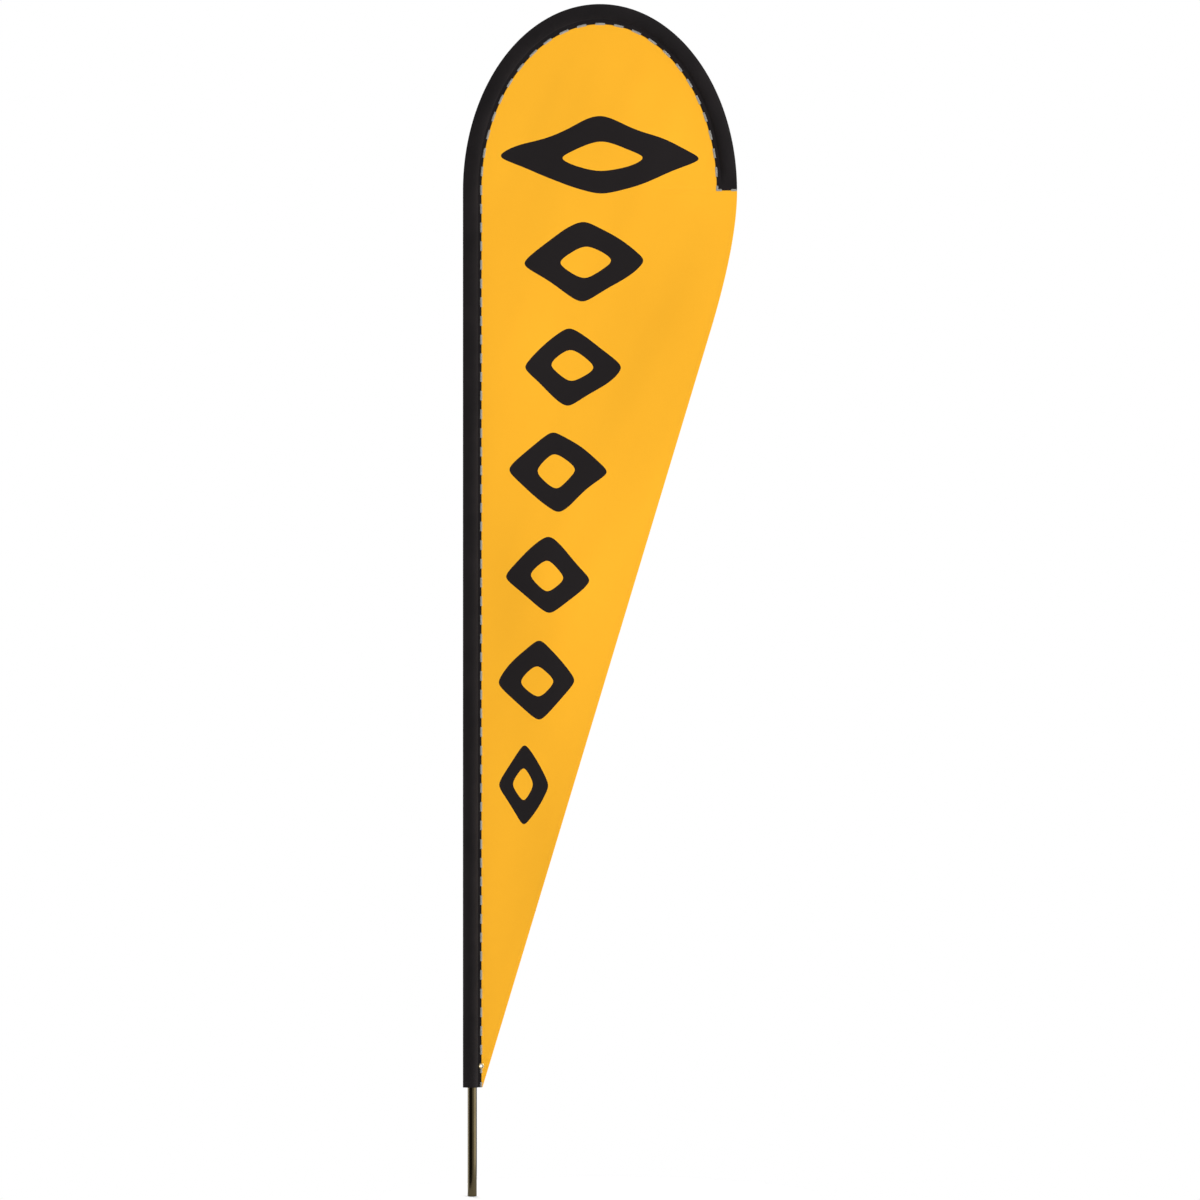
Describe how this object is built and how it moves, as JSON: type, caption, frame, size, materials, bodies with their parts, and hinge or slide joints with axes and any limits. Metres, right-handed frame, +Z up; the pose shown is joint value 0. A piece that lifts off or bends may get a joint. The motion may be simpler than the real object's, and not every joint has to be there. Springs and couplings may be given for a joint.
{
  "type": "teardrop flag",
  "caption": "Outdoor teardrop flag: a cloth panel whose black pole sleeve arches over a sprung, sectioned pole that turns in a foot tube and lifts out of it.",
  "frame": {"origin": "centre of the foot tube's bottom end, where the base's spindle enters", "axes": "+Z up the pole; +X from the pole towards the flag's free edge; Y through the cloth"},
  "size_m": [0.75, 0.03, 3.26],
  "materials": {
    "bronze_tube": "dark bronze, satin, drawn lengthways",
    "white_nylon": "natural nylon, satin",
    "aluminium": "mill finish, drawn",
    "spring_steel": "bright zinc plated",
    "glass_fibre": "charcoal glass fibre, satin",
    "black_vinyl": "dipped vinyl",
    "black_webbing": "woven webbing",
    "black_cloth": "heavy black polyester, matt",
    "yellow_cloth": "knitted flag polyester, printed, slight sheen",
    "grey_thread": "bonded polyester thread",
    "brass": "pale brass, polished"
  },
  "bodies": {
    "foot": {"foot_tube": "bronze_tube", "swivel_bush": "white_nylon"},
    "washer": {"thrust_washer": "white_nylon"},
    "flag": {"swivel_collar": "aluminium", "collar_pin": "spring_steel", "middle_tube": "aluminium", "upper_ferrule": "aluminium", "lock_spring": "spring_steel", "upper_rod": "glass_fibre", "whip_ferrule": "aluminium", "tip_rod": "glass_fibre", "tip_cap": "black_vinyl", "tip_pocket": "black_webbing", "sleeve_straight": "black_cloth", "sleeve_arch_mast_side": "black_cloth", "sleeve_arch_fly_side": "black_cloth", "flag_panel": "yellow_cloth", "seam_thread_front": "grey_thread", "seam_thread_back": "grey_thread", "grommet_eyelet": "brass", "grommet_washer": "brass"},
    "lock_button": {"lock_button": "spring_steel"}
  },
  "joints": [
    {"name": "swivel", "type": "hinge", "parent": "foot", "child": "washer", "pos_m": [0, 0, 1.0833], "axis": [0, 0, 1], "continuous": true},
    {"name": "lift_off", "type": "slide", "parent": "washer", "child": "flag", "axis": [0, 0, 1], "range_m": [0, 0.8]},
    {"name": "lock_button_press", "type": "slide", "parent": "flag", "child": "lock_button", "axis": [1, 0, 0], "range_m": [0, 0.0044], "stiffness_N_per_m": 900, "springref_m": -0.002, "deforming": ["lock_spring"]}
  ]
}
